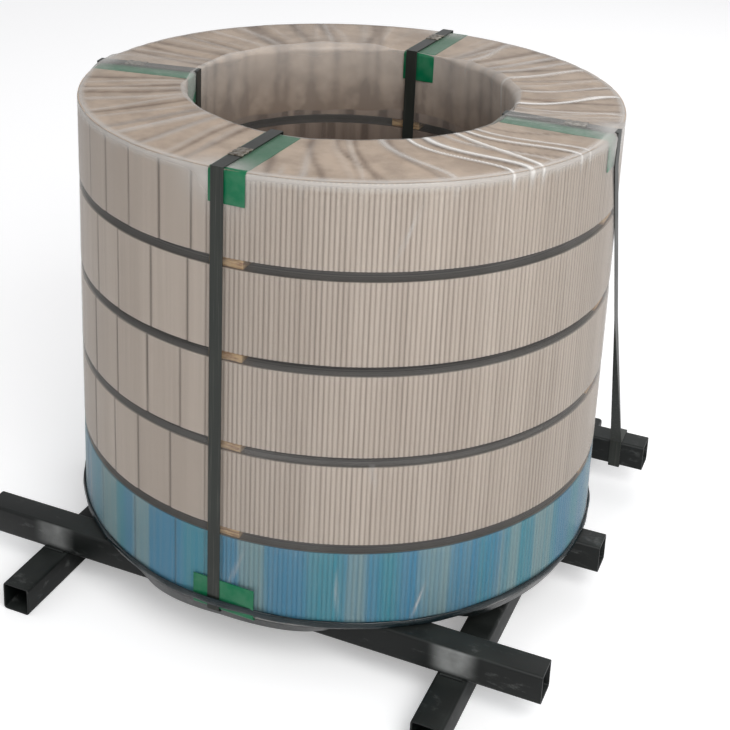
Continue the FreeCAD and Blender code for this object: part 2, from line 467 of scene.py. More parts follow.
@dataclass(frozen=True)
class TubePaint:
    """Black paint on square tube, dusty on top, with faint pale streaks and pale patches on the front
    faces where the beams cross the runners.
    """

    paint: Colour = srgb(13, 16, 15)
    dust: Colour = srgb(42, 46, 44)
    scuff: Colour = srgb(150, 152, 150)
    cross_at: float = 0.325

    def make(self) -> bpy.types.Material:
        """Build the material."""
        tree = Tree("black_tube_paint")
        normal = tree.add("ShaderNodeNewGeometry", {}, {}, "Normal")
        up = tree.add("ShaderNodeSeparateXYZ", {}, {0: normal}, "Z").ramp(0.4, 0.95)
        cloud = tree.noise((14, 14, 14), 5).ramp(0.38, 0.72)
        grain = tree.noise((900, 900, 900), 2)
        streak = tree.noise((22, 30, 60), 6, 0.7).ramp(0.56, 0.74)
        dusty = (up * (0.22 + 0.5 * cloud) + 0.1 * cloud).clamp()
        colour = tree.mix(dusty, self.paint, self.dust)
        place = tree.add("ShaderNodeSeparateXYZ", {}, {0: tree.place()}, "X")
        away = tree.add("ShaderNodeMath", {"operation": "ABSOLUTE"}, {0: place}) - self.cross_at
        apart = tree.add("ShaderNodeMath", {"operation": "ABSOLUTE"}, {0: away})
        upper = tree.height().ramp(0.046, 0.058)
        front = 1 - tree.add("ShaderNodeSeparateXYZ", {}, {0: normal}, "Y").ramp(-0.9, -0.4)
        # A pale patch on the faces turned towards -Y near each crossing, above the runners' tops; the
        # same pale colour marks faint random streaks.
        crossing_patch = (1 - apart.ramp(0.006, 0.04)) * front * upper * (0.35 + 0.65 * cloud)
        colour = tree.mix((streak * 0.18 + 0.9 * crossing_patch).clamp(), colour, self.scuff)
        ripple = tree.noise((160, 160, 160), 3)
        return tree.done(tree.surface(
            Base_Color=colour, Roughness=(0.34 + 0.3 * dusty + 0.1 * grain).clamp(),
            Normal=tree.bump(ripple + 0.3 * grain, 0.18, 0.4 * MM), Specular_IOR_Level=0.28))


@dataclass(frozen=True)
class SleeveBoard:
    """Ribbed wrapping board, streaked up and down, with painted shade in its rib grooves and dark
    joints between its flat boards.
    """

    name: str
    pale: Colour
    deep: Colour
    groove: Colour
    contrast: float

    def make(self) -> bpy.types.Material:
        """Build the material."""
        tree = Tree(self.name)
        broad = tree.noise((26, 26, 0.6), 4, 0.6).ramp(0.34, 0.66)
        fine = tree.noise((190, 190, 3), 3).ramp(0.3, 0.7)
        fibre = tree.noise((1400, 1400, 120), 2)
        share = (self.contrast * broad + 0.22 * fine).clamp()
        colour = tree.mix(share, self.pale, self.deep)
        colour = tree.mix((tree.attribute("tone") * 0.5).clamp(), colour, self.deep)
        # The groove colour is painted shade in the rib grooves, and the dark colour of the joints
        # between the flat boards.
        colour = tree.mix((tree.attribute("groove") * (0.75 + 0.5 * fine)).clamp(),
                          colour, self.groove)
        return tree.done(tree.surface(
            Base_Color=colour, Roughness=(0.46 + 0.16 * fibre).clamp(),
            Normal=tree.bump(fibre + fine, 0.2, 0.3 * MM)))


@dataclass(frozen=True)
class BlueSleeveBoard:
    """Ribbed board with blue, teal and grey upright streaks, painted shade in its rib grooves and dark
    joints between its flat boards.
    """

    blue: Colour = srgb(44, 124, 158)
    teal: Colour = srgb(36, 132, 150)
    grey: Colour = srgb(124, 150, 152)
    groove: Colour = srgb(40, 78, 92)

    def make(self) -> bpy.types.Material:
        """Build the material."""
        tree = Tree("blue_sleeve_board")
        which = tree.noise((15, 15, 0.4), 2, 0.5).ramp(0.42, 0.58)
        patch = tree.noise((19, 19, 0.5), 3, 0.5).ramp(0.46, 0.56)
        fine = tree.noise((230, 230, 3), 3).ramp(0.35, 0.65)
        fibre = tree.noise((1400, 1400, 120), 2)
        colour = tree.mix(which, self.blue, self.teal)
        colour = tree.mix((0.7 * patch + 0.22 * fine).clamp(), colour, self.grey)
        # The groove colour is painted shade in the rib grooves, and the dark colour of the joints
        # between the flat boards.
        colour = tree.mix((tree.attribute("groove") * 0.6).clamp(), colour, self.groove)
        return tree.done(tree.surface(
            Base_Color=colour, Roughness=(0.36 + 0.16 * fibre).clamp(),
            Normal=tree.bump(fibre + fine, 0.2, 0.3 * MM)))


@dataclass(frozen=True)
class WrapPaper:
    """Beige packing paper, with painted shade in its creases and lower down in the eye."""

    name: str
    paper: Colour
    shade: Colour
    stretch: tuple[float, float, float]
    soil_from: float = 0.3

    def make(self) -> bpy.types.Material:
        """Build the material."""
        tree = Tree(self.name)
        broad = tree.noise(self.stretch, 5, 0.6).ramp(0.32, 0.7)
        crumple = tree.noise((60, 60, 60), 6, 0.65)
        fibre = tree.noise((900, 900, 900), 2)
        # Painted shade: the paper darkens lower down in the eye and in its creases; the broad noise is
        # random darker tone.
        low = 1 - tree.height().ramp(self.soil_from, 0.752)
        dark = (0.45 * broad + 0.9 * tree.attribute("crease") + 0.85 * low).clamp()
        colour = tree.mix(dark, self.paper, self.shade)
        return tree.done(tree.surface(
            Base_Color=colour, Roughness=(0.55 + 0.2 * fibre).clamp(),
            Normal=tree.bump(crumple + 0.25 * fibre, 0.35, 1.2 * MM)))


@dataclass(frozen=True)
class StretchFilm:
    """Clear wrapping film, whitish where it is pleated, partly as painted highlight, glossy on its
    folds.
    """

    name: str
    milk: Colour
    veil: float
    fold: float

    def make(self) -> bpy.types.Material:
        """Build the material: clear film mixed by its folds with a glossy one of the fold tint."""
        tree = Tree(self.name)
        folds = tree.attribute("fold")
        cloud = tree.noise((9, 9, 3), 5, 0.6).ramp(0.45, 0.75)
        wrinkle = tree.noise((70, 70, 16), 6, 0.7)
        rim = tree.add("ShaderNodeFresnel", {}, {"IOR": 1.4})
        # The fold number mixes in the tint: on the clear film a whitish tint that is partly painted
        # highlight, on the rope and the hem a dark tint that is painted shade.
        share = (self.veil * (0.5 + cloud) + self.fold * folds + 0.45 * rim).clamp()
        glossy = tree.surface(Base_Color=self.milk, Roughness=(0.16 + 0.12 * cloud).clamp(),
                              Normal=tree.bump(wrinkle, 0.45, 2.0 * MM), IOR=1.5)
        clear = tree.add("ShaderNodeBsdfTransparent", {}, {"Color": (1.0, 1.0, 1.0)})
        return tree.done(tree.add("ShaderNodeMixShader", {}, {0: share, 1: clear, 2: glossy}))


@dataclass(frozen=True)
class GuardPlastic:
    """Glossy green extruded plastic, dulled where film lies over it."""

    name: str
    green: Colour
    haze: float

    def make(self) -> bpy.types.Material:
        """Build the material."""
        tree = Tree(self.name)
        cloud = tree.noise((40, 40, 40), 5, 0.6).ramp(0.35, 0.7)
        scratch = tree.noise((240, 240, 30), 3)
        veil = (self.haze * (0.55 + 0.6 * cloud) + 0.05 * cloud).clamp()
        colour = tree.mix(veil, self.green, srgb(196, 206, 194))
        return tree.done(tree.surface(
            Base_Color=colour, Roughness=(0.24 + 0.22 * scratch).clamp(),
            Normal=tree.bump(cloud + 0.3 * scratch, 0.2, 0.8 * MM), Specular_IOR_Level=0.3))


@dataclass(frozen=True)
class StrapPaint:
    """Black lacquer on strapping steel, grey where it has rubbed."""

    lacquer: Colour = srgb(36, 40, 37)
    rubbed: Colour = srgb(104, 104, 96)

    def make(self) -> bpy.types.Material:
        """Build the material."""
        tree = Tree("strap_lacquer")
        long_scratch = tree.noise((420, 420, 7), 4, 0.6).ramp(0.52, 0.75)
        dull = tree.noise((30, 30, 12), 4)
        colour = tree.mix((0.35 * long_scratch + 0.15 * dull).clamp(), self.lacquer, self.rubbed)
        return tree.done(tree.surface(
            Base_Color=colour, Roughness=(0.26 + 0.24 * dull).clamp(), Metallic=0.35,
            Normal=tree.bump(long_scratch, 0.12, 0.2 * MM)))


@dataclass(frozen=True)
class SealSteel:
    """Dull galvanised seal, browned by handling."""

    steel: Colour = srgb(150, 144, 132)
    brown: Colour = srgb(84, 72, 60)

    def make(self) -> bpy.types.Material:
        """Build the material."""
        tree = Tree("seal_steel")
        stain = tree.noise((160, 160, 160), 5, 0.65).ramp(0.4, 0.66)
        return tree.done(tree.surface(
            Base_Color=tree.mix(stain, self.steel, self.brown), Metallic=0.8,
            Roughness=(0.28 + 0.25 * stain).clamp(), Normal=tree.bump(stain, 0.2, 0.3 * MM)))


@dataclass(frozen=True)
class SawnWood:
    """Sawn softwood with straight grain."""

    pale: Colour = srgb(196, 164, 118)
    dark: Colour = srgb(142, 104, 66)

    def make(self) -> bpy.types.Material:
        """Build the material."""
        tree = Tree("sawn_wood")
        grain = tree.noise((60, 60, 420), 5, 0.6).ramp(0.38, 0.66)
        saw = tree.noise((700, 700, 700), 2)
        return tree.done(tree.surface(
            Base_Color=tree.mix(grain, self.pale, self.dark),
            Roughness=(0.62 + 0.2 * saw).clamp(), Normal=tree.bump(grain + saw, 0.4, 0.5 * MM)))


@dataclass(frozen=True)
class StripSteel:
    """Bright rolled strip, its many turns showing as fine rings on the ends."""

    steel: Colour = srgb(150, 138, 124)
    gap: Colour = srgb(72, 60, 50)

    def make(self) -> bpy.types.Material:
        """Build the material."""
        tree = Tree("strip_steel")
        at = tree.place()
        flat = tree.add("ShaderNodeVectorMath", {"operation": "MULTIPLY"},
                        {0: at, 1: (1.0, 1.0, 0.0)})
        radius = tree.add("ShaderNodeVectorMath", {"operation": "LENGTH"}, {0: flat}, "Value")
        turns = tree.add("ShaderNodeTexNoise", {"noise_dimensions": "1D"},
                         {"W": radius, "Scale": 900.0, "Detail": 2.0}, "Fac")
        dark = turns.ramp(0.42, 0.62)
        return tree.done(tree.surface(
            Base_Color=tree.mix(dark, self.steel, self.gap), Metallic=0.9,
            Roughness=(0.3 + 0.25 * dark).clamp(), Normal=tree.bump(turns, 0.4, 0.5 * MM)))


class Finishes:
    """Every material of the pack, made once."""

    def __init__(self) -> None:
        """Make them all."""
        self.tube = TubePaint().make()
        # A sleeve board's groove colour is painted shade in its rib grooves and the colour of its board
        # joints.
        self.beige = SleeveBoard("beige_sleeve_board", srgb(196, 184, 172), srgb(166, 153, 141),
                                 srgb(112, 101, 91), 0.34).make()
        self.blue = BlueSleeveBoard().make()
        # The papers' second colours serve as painted shade in the creases and deep in the eye, and as
        # random darker tone.
        self.top_paper = WrapPaper("top_paper", srgb(194, 174, 154), srgb(124, 102, 83),
                                   (22, 22, 22), 0.6).make()
        self.eye_paper = WrapPaper("eye_paper", srgb(162, 142, 126), srgb(88, 71, 59),
                                   (30, 30, 2), 0.5).make()
        # The film's whitish fold tint is partly painted highlight; the rope and the hem are dark,
        # nearly opaque film as painted shade at the foot and under the coil.
        self.film = StretchFilm("stretch_film", srgb(238, 235, 230), 0.03, 0.9).make()
        self.rope = StretchFilm("dark_film_rope", srgb(20, 34, 38), 0.6, 0.5).make()
        self.hem = StretchFilm("dark_film_hem", srgb(22, 27, 28), 0.66, 0.4).make()
        self.green = GuardPlastic("green_guard", srgb(2, 100, 64), 0.0).make()
        self.veiled_green = GuardPlastic("green_guard_under_film", srgb(8, 106, 74), 0.16).make()
        self.strap = StrapPaint().make()
        self.seal = SealSteel().make()
        self.wood = SawnWood().make()
        self.steel = StripSteel().make()


# ---------------------------------------------------------------- the skid


@dataclass
class Skid:
    """Three open square tubes laid across two more and welded to them."""

    finishes: Finishes
    corner: float = 5 * MM
    wall: float = 3 * MM
    bead_radius: float = 3.2 * MM
    beams: tuple[str, ...] = ("front", "middle", "rear")
    runners: tuple[str, ...] = ("left", "right")

    def tube(self, node: str) -> bpy.types.Object:
        """Model one open tube over the box of its node."""
        low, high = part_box(node)
        size = high - low
        long_axis = 0 if size.x > size.y else 1
        bpy.ops.mesh.primitive_cube_add(size=1, location=(low + high) / 2)
        piece = bpy.context.object
        piece.name = node + "_tube"
        piece.scale = size
        apply_place(piece)
        with editing(piece):
            choose(piece, "faces", lambda f: abs(f.normal[long_axis]) > 0.9)
            bpy.ops.mesh.delete(type="ONLY_FACE")
        with editing(piece, "EDGE"):
            choose(piece, "edges", lambda e: abs((e.verts[0].co - e.verts[1].co)[long_axis]) > 0.1)
            bpy.ops.mesh.bevel(offset=self.corner, segments=4)
        modify(piece, "SOLIDIFY", thickness=self.wall, offset=-1.0, use_even_offset=True)
        round_edges(piece, 0.5 * MM)
        return settle(piece)

    def bead(self) -> bpy.types.Object:
        """Model one rippled weld bead along X, with its middle at the origin."""
        length = 0.036
        bpy.ops.mesh.primitive_cylinder_add(vertices=10, radius=self.bead_radius, depth=length,
                                            rotation=(0, math.pi / 2, 0))
        piece = bpy.context.object
        make_active(piece)
        bpy.ops.object.transform_apply(location=False, rotation=True, scale=False)
        with editing(piece, "EDGE"):
            choose(piece, "edges", lambda e: abs((e.verts[0].co - e.verts[1].co).x) > length / 2)
            bpy.ops.mesh.subdivide(number_cuts=17)
        with editing(piece, "VERT"):
            step = length / 18
            choose(piece, "verts", lambda v: round((v.co.x + length / 2) / step) % 2 == 0)
            bpy.ops.transform.resize(value=(1, 0.78, 0.78))
        with editing(piece, "VERT"):
            choose(piece, "verts", lambda v: abs(v.co.x) > length / 2 - step / 2)
            bpy.ops.transform.resize(value=(1, 0.45, 0.45))
        return settle(piece, 60)

    def build(self) -> None:
        """Build the tubes and the weld beads."""
        for node in [f"skid_beam_{b}" for b in self.beams] + [f"skid_runner_{r}"
                                                              for r in self.runners]:
            finish_piece(self.tube(node), "black_paint", self.finishes.tube, node)
        model, beads = self.bead(), []
        for beam in self.beams:
            low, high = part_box(f"skid_beam_{beam}")
            for runner in self.runners:
                run_low, run_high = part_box(f"skid_runner_{runner}")
                for y in (low.y, high.y):
                    place = ((run_low.x + run_high.x) / 2, y, low.z)
                    beads.append(copy_piece(model, f"bead_{len(beads)}", place))
        bpy.data.objects.remove(model)
        finish_piece(join_pieces(beads, "skid_weld_beads"), "black_paint", self.finishes.tube)


# ---------------------------------------------------------------- the coils


@dataclass
class CoilStack:
    """The five coils with their sleeves, their eye papers and the spacers between them."""

    finishes: Finishes
    ribs: int = 372
    rib_depth: float = 1.0 * MM
    end_grooves: int = 20
    board_start: float = -94.5   # the flat boards lie between these azimuths, in degrees
    board_end: float = -176.0
    joints: dict[int, tuple[float, ...]] = field(default_factory=lambda: {
        1: (-101.0, -113.0, -126.5, -139.0, -152.0, -166.0),
        2: (-102.3, -111.5, -120.0, -130.0, -142.0, -155.0, -168.0),
        3: (-99.8, -108.5, -118.5, -128.8, -141.0, -154.0, -167.0),
        4: (-98.0, -107.3, -117.8, -126.8, -139.0, -153.0, -166.0),
        5: (-97.3, -105.0, -113.8, -122.3, -130.5, -143.0, -157.0, -170.0)})

    def coil(self, node: str) -> bpy.types.Object:
        """Spin a coil's grooved section about the Z axis."""
        low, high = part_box(node)
        inner, outer = eye_radius(node), high.x
        width, tall = outer - inner, high.z - low.z
        bpy.ops.mesh.primitive_grid_add(x_subdivisions=self.end_grooves, y_subdivisions=1, size=1,
                                        location=((inner + outer) / 2, 0, (low.z + high.z) / 2),
                                        rotation=(math.pi / 2, 0, 0))
        piece = bpy.context.object
        piece.name = node + "_turns"
        piece.scale = (width, tall, 1)
        apply_place(piece)
        with editing(piece, "VERT"):
            step = width / self.end_grooves
            middle = (low.z + high.z) / 2
            inside = (inner + step / 2, outer - step / 2)
            choose(piece, "verts", lambda v: inside[0] < v.co.x < inside[1]
                   and round((v.co.x - inner) / step) % 2 == 0)
            bpy.ops.transform.resize(value=(1, 1, 1 - 1.6 * MM / tall),
                                     center_override=(0, 0, middle))
        with editing(piece, "EDGE"):
            choose(piece, "edges", lambda e: len(e.link_faces) == 2)
            bpy.ops.mesh.dissolve_edges(use_verts=False)
            bpy.ops.mesh.select_mode(type="FACE")
            bpy.ops.mesh.select_all(action="SELECT")
            bpy.ops.mesh.delete(type="ONLY_FACE")
            bpy.ops.mesh.select_mode(type="EDGE")
            bpy.ops.mesh.select_all(action="SELECT")
            bpy.ops.mesh.spin(steps=144, angle=FULL_TURN, center=(0, 0, 0), axis=(0, 0, 1))
        face_outward(piece)
        return settle(piece)

    def wall(self, name: str, outer: float, inner: float, low: float, high: float,
             around: int, rows: int) -> bpy.types.Object:
        """Model an upright tube wall from a cylinder.

        Args:
            name: the piece's name.
            outer: its outer radius.
            inner: its inner radius.
            low: the height of its underside.
            high: the height of its top.
            around: how many faces it has around.
            rows: how many rows of faces it has.

        Returns:
            The piece, not yet settled.
        """
        bpy.ops.mesh.primitive_cylinder_add(vertices=around, radius=outer, depth=high - low,
                                            end_fill_type="NOTHING",
                                            location=(0, 0, (low + high) / 2))
        piece = bpy.context.object
        piece.name = name
        apply_place(piece)
        if rows > 1:
            with editing(piece, "EDGE"):
                choose(piece, "edges",
                       lambda e: abs(e.verts[0].co.z - e.verts[1].co.z) > (high - low) / 2)
                bpy.ops.mesh.subdivide(number_cuts=rows - 1)
        modify(piece, "SOLIDIFY", thickness=outer - inner, offset=-1.0, use_even_offset=True)
        return piece

    def sleeve(self, number: int) -> bpy.types.Object:
        """Model one sleeve: ribs all round, but flat boards with joints on the left."""
        node = f"sleeve_{number}"
        low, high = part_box(node)
        outer, inner = high.x, eye_radius(node)
        around = 4 * self.ribs
        piece = self.wall(node + "_board", outer, inner, low.z, high.z, around, 1)
        start, end = math.radians(self.board_start), math.radians(self.board_end)
        joints = [math.radians(a) for a in self.joints[number]]
        rng = random.Random(number)
        tones = [rng.random() for _ in range(len(joints) + 1)]
        # The groove number marks the dark joints between the flat boards and the painted shade in the
        # rib grooves.
        groove, tone = [], []
        for vertex in piece.data.vertices:
            x, y = vertex.co.xy
            radius, angle = math.hypot(x, y), math.atan2(y, x)
            if radius < (outer + inner) / 2:
                groove.append(0.0)
                tone.append(0.0)
                continue
            if end < angle < start:
                gap = min(abs(angle - j) for j in joints) * outer
                depth = bump_at(gap, 1.9 * MM)
                side = sum(angle < j for j in joints)
                lift = (side % 2) * 0.5 * MM
                groove.append(depth)
                tone.append(tones[side])
            else:
                phase = round(angle / FULL_TURN * around) % 4
                depth = (1.0, 0.25, 0.0, 0.25)[phase]
                lift = 0.25 * MM * math.sin(angle * 11 + number)
                groove.append(depth * 0.6)
                tone.append(0.25 + 0.25 * math.sin(angle * 5 + 2 * number))
            fresh = outer - 0.2 * MM - self.rib_depth * depth - max(lift, 0)
            vertex.co.x, vertex.co.y = x * fresh / radius, y * fresh / radius
        set_attribute(piece, "groove", groove)
        set_attribute(piece, "tone", tone)
        return settle(piece, 20)

    def liner(self, number: int) -> bpy.types.Object:
        """Model the paper in one eye, with upright creases."""
        node = f"liner_{number}"
        low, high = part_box(node)
        outer, inner = high.x, eye_radius(node)
        piece = self.wall(node + "_paper", outer, inner, low.z, high.z, 360, 4)
        crease = []
        rng = random.Random(40 + number)
        folds = [(rng.uniform(-math.pi, math.pi), rng.uniform(2, 7) * MM) for _ in range(34)]
        for vertex in piece.data.vertices:
            x, y = vertex.co.xy
            radius, angle = math.hypot(x, y), math.atan2(y, x)
            depth = max(bump_at(wrap(angle - a) * inner, w) for a, w in folds)
            # The crease number darkens the paper as painted shade in the creases.
            crease.append(depth)
            if radius < (outer + inner) / 2:
                fresh = radius + 0.8 * MM * depth
                vertex.co.x, vertex.co.y = x * fresh / radius, y * fresh / radius
        set_attribute(piece, "crease", crease)
        return settle(piece)

    def spacer(self, node: str) -> bpy.types.Object:
        """Model one wooden spacer over the box of its node."""
        low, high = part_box(node)
        bpy.ops.mesh.primitive_cube_add(size=1, location=(0, 0, 0))
        piece = bpy.context.object
        piece.scale = high - low
        apply_place(piece)
        with editing(piece, "EDGE"):
            long_way = 0 if high.x - low.x > high.y - low.y else 1
            choose(piece, "edges",
                   lambda e: abs((e.verts[0].co - e.verts[1].co)[long_way]) > 0.1)
            bpy.ops.mesh.subdivide(number_cuts=3)
        round_edges(piece, 1.2 * MM)
        return settle(piece)

    def build(self) -> None:
        """Build the coils from the lowest up, and the spacers between them."""
        for number in range(1, COILS + 1):
            coil = self.coil(f"coil_{number}")
            finish_piece(coil, "strip_steel", self.finishes.steel, f"coil_{number}")
            sleeve = self.sleeve(number)
            slot = "blue_sleeve" if number == 1 else "beige_sleeve"
            board = self.finishes.blue if number == 1 else self.finishes.beige
            finish_piece(sleeve, slot, board, f"sleeve_{number}")
            paper = self.liner(number)
            finish_piece(paper, "wrapping_paper", self.finishes.eye_paper, f"liner_{number}")
        for side in Side:
            model = self.spacer(f"spacer_1_{side.label}")
            for gap in range(1, COILS):
                node = f"spacer_{gap}_{side.label}"
                low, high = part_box(node)
                block = copy_piece(model, node + "_block", (low + high) / 2)
                finish_piece(block, "raw_wood", self.finishes.wood, node)
            bpy.data.objects.remove(model)


# ---------------------------------------------------------------- paper and film


@dataclass(frozen=True)
class Pleat:
    """One fold that runs over the top from the eye to the rim, drifting as it goes."""

    start: float
    drift: float
    width: float
    rise: float
    milk: float

    def strength(self, angle: float, share: float, radius: float) -> float:
        """How strong the fold is at a point.

        Args:
            angle: the point's azimuth in radians.
            share: how far it is from the eye to the rim, 0 to 1.
            radius: its distance from the axis.

        Returns:
            1 on the fold's crest and 0 away from it.
        """
        bend = share * share * (3 - 2 * share)
        crest = self.start + self.drift * bend
        return bump_at(wrap(angle - crest) * radius, self.width)


@dataclass(frozen=True)
class SideCrease:
    """One thin crease that runs obliquely up the film's outer wall, drawn only as a painted highlight.
    """

    start: float
    middle: float
    lean: float
    reach: float
    width: float
    milk: float

    def place(self, height: float) -> float:
        """The crease's azimuth in radians at a height."""
        return self.start + self.lean * (height - self.middle)


@dataclass
class Wrapping:
    """The paper over the top end and the stretch film through the eye."""

    finishes: Finishes
    around: int = 720
    paper_drop: float = 104 * MM
    tent_reach: float = 46 * MM
    guard_lift: float = 5.2 * MM
    guard_bulge: float = 4.6 * MM
    rope_width: float = 13 * MM
    skirt_width: float = 30 * MM

    def pleats(self, seed: int, count: int, painted_highlights: bool) -> list[Pleat]:
        """Make the folds: wide and dull on the left, narrow and oblique on the right, where they can
        also be whitened as painted highlights.
        """
        rng = random.Random(seed)
        folds = []
        for number in range(count):
            start = FULL_TURN * (number + rng.uniform(-0.35, 0.35)) / count - math.pi
            right = bump_at(wrap(start - math.radians(-25)), math.radians(75))
            drift = math.radians(rng.uniform(-4, 4) * (1 - right) + rng.uniform(3, 15) * right)
            width = rng.uniform(5.0, 9.0) * (1 - 0.5 * right) * MM
            rise = rng.uniform(1.0, 3.6) * MM
            # Whitening of the right-hand folds, on the key lamp's side, is painted highlight; the small
            # random part is the film's own whitening.
            milk = rng.uniform(0.0, 0.22) + (1.5 * right * rng.random() ** 2 if painted_highlights else 0)
            folds.append(Pleat(start, drift, width, rise, min(milk, 1.0)))
        return folds

    def side_creases(self, seed: int, count: int) -> list["SideCrease"]:
        """Scatter thin oblique creases over the film's outer wall, as painted highlights."""
        rng = random.Random(seed)
        low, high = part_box("stretch_film")
        return [SideCrease(rng.uniform(-math.pi, math.pi), rng.uniform(low.z, high.z),
                           rng.uniform(-1.6, 1.6), rng.uniform(10, 34) * MM,
                           rng.uniform(1.2, 2.4) * MM, rng.uniform(0.2, 0.55))
                for _ in range(count)]

    def sheet(self, name: str, rows: int, closed: bool, attribute: str,
              place: Callable[[float, int], tuple[float, float, float]]) -> bpy.types.Object:
        """Lay out a round sheet as rows of points and skin them.

        Args:
            name: the piece's name.
            rows: how many rows there are.
            closed: whether the last row joins the first.
            attribute: the name of the number stored at each point.
            place: takes an azimuth and a row, and gives a radius, a height and that number.

        Returns:
            The sheet.
        """
        points, values, faces = [], [], []
        for row in range(rows):
            for step in range(self.around):
                angle = FULL_TURN * step / self.around
                radius, height, value = place(angle, row)
                points.append((radius * math.cos(angle), radius * math.sin(angle), height))
                values.append(value)
        for row in range(rows if closed else rows - 1):
            for step in range(self.around):
                here, there = row * self.around, (row + 1) % rows * self.around
                after = (step + 1) % self.around
                faces.append((here + step, here + after, there + after, there + step))
        mesh = bpy.data.meshes.new(name)
        mesh.from_pydata(points, [], faces)
        piece = bpy.data.objects.new(name, mesh)
        bpy.context.scene.collection.objects.link(piece)
        set_attribute(piece, attribute, values)
        for polygon in mesh.polygons:
            polygon.use_smooth = True
        return piece

    def puff(self, angle: float) -> float:
        """How far the wrapping stands off its corner: 0 under a strap and 1 between straps."""
        held = max(bump_at(wrap(angle - side.guard_angle), math.radians(12)) for side in Side)
        return (1 - min(1.9 * held, 1)) * (0.75 + 0.25 * math.sin(7 * angle + 2) * math.sin(11 * angle))

    def inner_roll(self, angle: float, turn: float, radius: float,
                   height: float) -> tuple[float, float]:
        """A point of the padded roll between the top end and the eye.

        Args:
            angle: the azimuth.
            turn: how far round the roll, from 0 at the top to 1 in the eye.
            radius: where the wall of the eye is.
            height: where the top is.

        Returns:
            The point's radius and height.
        """
        puff = self.puff(angle)
        bend, off = (1 + 15 * puff) * MM, 6.0 * puff * MM
        arc = turn * math.pi / 2
        return radius + bend - off - bend * math.sin(arc), height - bend + off + bend * math.cos(arc)

    def top_paper(self) -> None:
        """Lay creased paper over the top end and roll it into the eye."""
        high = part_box("top_cover")[1]
        outer, eye = high.x - 0.5 * MM, eye_radius("top_cover") - 0.1 * MM
        folds = self.pleats(7, 40, False)
        flat, roll, drop = 16, 7, 4

        def place(angle: float, row: int) -> tuple[float, float, float]:
            """Crease the paper on top, then follow the roll and hang in the eye."""
            if row <= flat:
                share = 1 - row / flat
                end, rise = self.inner_roll(angle, 0, eye, high.z)
                radius = end + (outer - end) * share
                # The crease share darkens the paper as painted shade in its creases.
                crease = min(sum(p.strength(angle, share, radius) for p in folds), 1.0)
                lift = (rise - high.z) * (1 - share) ** 2
                return radius, high.z + lift - 0.7 * MM * crease, 0.65 * crease
            crease = min(sum(p.strength(angle, 0, eye) for p in folds), 1.0)
            if row <= flat + roll:
                radius, height = self.inner_roll(angle, (row - flat) / roll, eye, high.z)
                return radius, height, 0.5 * crease
            radius, height = self.inner_roll(angle, 1, eye, high.z)
            share = (row - flat - roll) / drop
            return radius + (eye - radius) * share, height - self.paper_drop * share, 0.4 * crease

        piece = self.sheet("top_cover_paper", flat + roll + drop + 1, False, "crease", place)
        finish_piece(piece, "wrapping_paper", self.finishes.top_paper, "top_cover")

    def film(self) -> None:
        """Wrap clear film up the outside, over the top and down the eye."""
        low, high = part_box("stretch_film")
        outer, eye = high.x - 0.4 * MM, eye_radius("stretch_film") + 0.3 * MM
        bottom, top = low.z, high.z - 0.2 * MM
        bend = 5 * MM
        folds, creases = self.pleats(11, 64, True), self.side_creases(23, 18)
        wall, rim, flat, roll, inside = 60, 4, 38, 7, 10
        gaps = []
        for number in range(1, COILS):
            gap_low, gap_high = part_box(f"spacer_{number}_front")
            gaps.append((gap_low.z + gap_high.z) / 2)
        veiled = (Side.LEFT.angle, Side.RIGHT.angle - math.radians(1.5))
        bare = (Side.FRONT.guard_angle, Side.REAR.guard_angle)

        def milk_of(angle: float, share: float, radius: float) -> tuple[float, float]:
            """The height and the whitening of the pleats at a point, partly painted highlight."""
            crest, milk = 0.0, 0.0
            for pleat in folds:
                strength = pleat.strength(angle, share, radius)
                crest = max(crest, strength * pleat.rise)
                milk = max(milk, strength * pleat.milk)
            pressed = max(bump_at(wrap(angle - a) * radius, 52 * MM) for a in bare)
            loose = 1 - min(2.4 * pressed, 1.0)
            return crest * loose, milk * loose

        def over_guard(angle: float, radius: float) -> float:
            """1 over the two guards that lie under the film, and 0 away from them."""
            near = max(bump_at(wrap(angle - a) * radius, 40 * MM) for a in veiled)
            return min(near * 1.7, 1.0)

        def place(angle: float, row: int) -> tuple[float, float, float]:
            """Go up the wall, over the rim and the top, round the roll and down the eye."""
            if row < wall:
                height = bottom + (top - bend - bottom) * row / wall
                dent = max(bump_at(height - g, 6 * MM) for g in gaps)
                tent = max(bump_at(wrap(angle - s.angle) * outer, self.tent_reach) for s in Side)
                drop = bump_at(top - height, 45 * MM)
                # Painted highlights along thin oblique creases on the wall.
                crease_highlight = sum(bump_at(wrap(angle - c.place(height)) * outer, c.width) * c.milk
                           * bump_at(height - c.middle, c.reach) for c in creases)
                short = milk_of(angle, 1, outer)[1] * bump_at(top - height, 16 * MM)
                milk = max(short, 0.6 * tent * drop, 0.1 * dent, min(crease_highlight, 0.8),
                           0.3 * bump_at(height - bottom, 5 * MM))
                wave = 0.3 * MM * math.sin(9 * angle + 14 * height)
                cover = 3.4 * MM * over_guard(angle, outer) * bump_at(top - height, 52 * MM)
                return outer - 1.6 * MM * dent + wave * (1 - dent) + cover, height, milk
            cover = self.guard_lift * over_guard(angle, outer)
            if row <= wall + rim:
                arc = (row - wall) / rim * math.pi / 2
